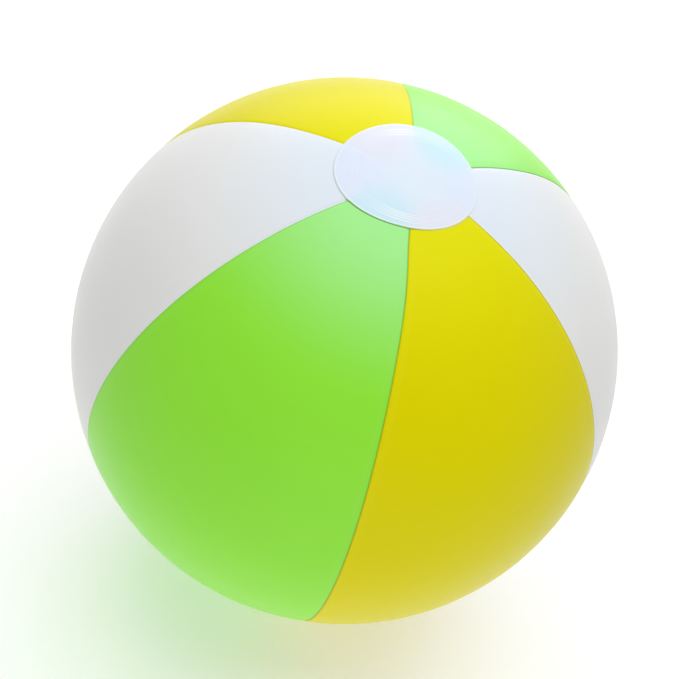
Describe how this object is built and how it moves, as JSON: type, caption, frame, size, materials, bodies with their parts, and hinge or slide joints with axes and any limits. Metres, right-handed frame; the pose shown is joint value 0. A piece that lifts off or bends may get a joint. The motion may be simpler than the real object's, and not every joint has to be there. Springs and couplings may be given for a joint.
{
  "type": "inflatable beach ball",
  "caption": "Round inflatable beach ball of welded colour panels with plain end caps and a push-in inflation valve with a hinged plug.",
  "frame": {"origin": "centre of the inflated ball", "axes": "+Z along the polar axis out through the plain end cap; the valve is at the -Z pole; +X through the seam between the green front gore and the yellow front gore"},
  "size_m": [0.2994, 0.2994, 0.3],
  "materials": {
    "film_white": "glossy",
    "film_yellow": "glossy",
    "film_green": "glossy",
    "film_cap": "glossy, slightly milky",
    "valve_pvc": "soft satin"
  },
  "bodies": {
    "envelope": {"gore_yellow_front": "film_yellow", "gore_white_right": "film_white", "gore_green_back": "film_green", "gore_yellow_back": "film_yellow", "gore_white_left": "film_white", "gore_green_front": "film_green", "top_cap": "film_cap", "bottom_cap": "film_cap", "valve_flange": "valve_pvc", "valve_diaphragm": "valve_pvc"},
    "stem": {"valve_stem": "valve_pvc", "plug_strap": "valve_pvc"},
    "plug": {"valve_plug": "valve_pvc"},
    "flap": {"check_flap": "film_cap"}
  },
  "joints": [
    {"name": "stem_slide", "type": "slide", "parent": "envelope", "child": "stem", "axis": [0, 0, -1], "range_m": [0, 0.016], "deforming": ["valve_diaphragm"]},
    {"name": "plug_swing", "type": "hinge", "parent": "stem", "child": "plug", "pos_m": [0.00775, 0, -0.1491], "axis": [0, -1, 0], "range_deg": [0, 110]},
    {"name": "flap_swing", "type": "hinge", "parent": "stem", "child": "flap", "pos_m": [0.0052, 0, -0.13595], "axis": [0, 1, 0], "range_deg": [0, 70], "stiffness_Nm_per_rad": 0.0002}
  ]
}
